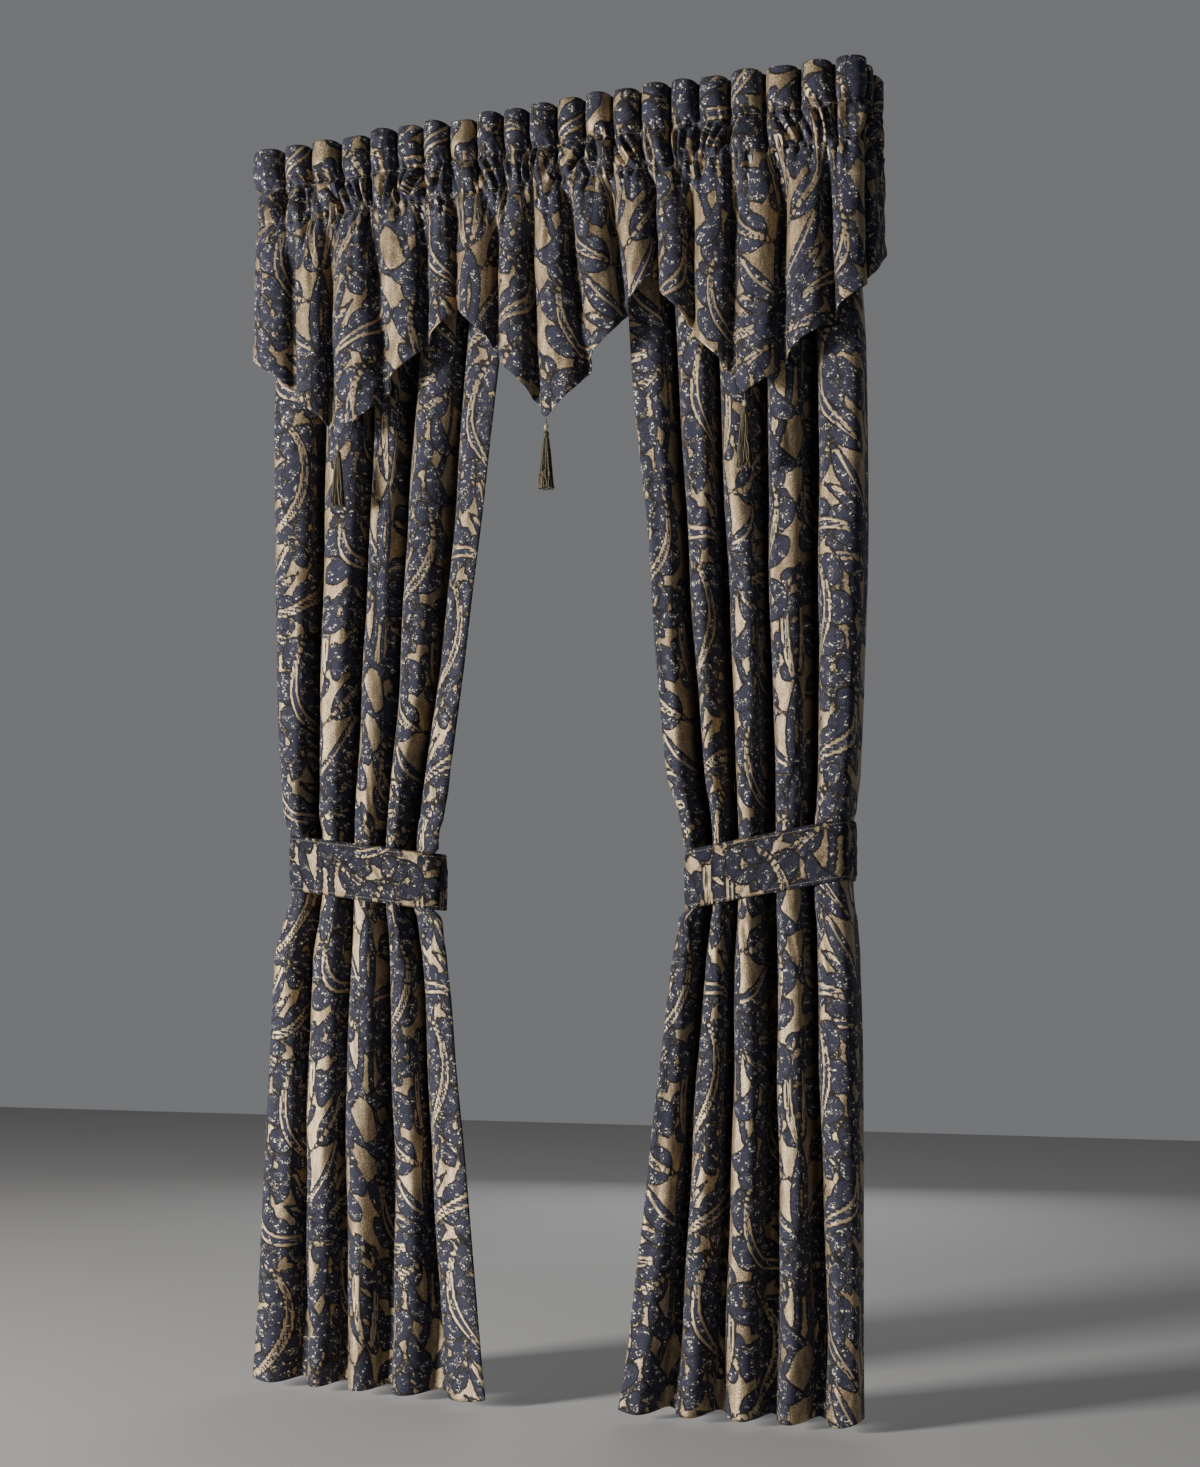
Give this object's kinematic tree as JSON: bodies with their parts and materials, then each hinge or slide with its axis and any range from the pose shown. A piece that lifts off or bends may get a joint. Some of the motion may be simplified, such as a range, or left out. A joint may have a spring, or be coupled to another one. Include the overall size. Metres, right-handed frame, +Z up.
{
  "type": "pair of curtains with valance and tiebacks",
  "caption": "Pair of rod-pocket damask curtain panels held in by cloth tiebacks, under a gathered, pointed valance with side returns and hanging tassels.",
  "frame": {"origin": "middle of the valance's top edge, on the plan line of its front, over the rod that carries it", "axes": "+X to the right along the window, +Y into the wall, +Z up; the cloth faces -Y"},
  "size_m": [1.1291, 0.1428, 2.1766],
  "materials": {
    "damask": "woven damask in navy and gold with a slight metallic sheen",
    "lining": "matt plain-weave lining, off-white",
    "pocket_cloth": "turned-back damask, woven side towards the rod",
    "tassel_yarn": "twisted yarn in black, olive and dull gold"
  },
  "bodies": {
    "root": {"valance": "damask", "valance_lining": "lining", "valance_pocket_left": "pocket_cloth", "valance_pocket_middle": "pocket_cloth", "valance_pocket_right": "pocket_cloth", "valance_pocket_return_left": "pocket_cloth", "valance_pocket_return_right": "pocket_cloth", "panel_left": "damask", "panel_right": "damask", "panel_pocket_left": "pocket_cloth", "panel_pocket_right": "pocket_cloth", "tieback_left": "damask", "tieback_right": "damask", "tassel_left": "tassel_yarn", "tassel_centre": "tassel_yarn", "tassel_right": "tassel_yarn"}
  },
  "joints": []
}
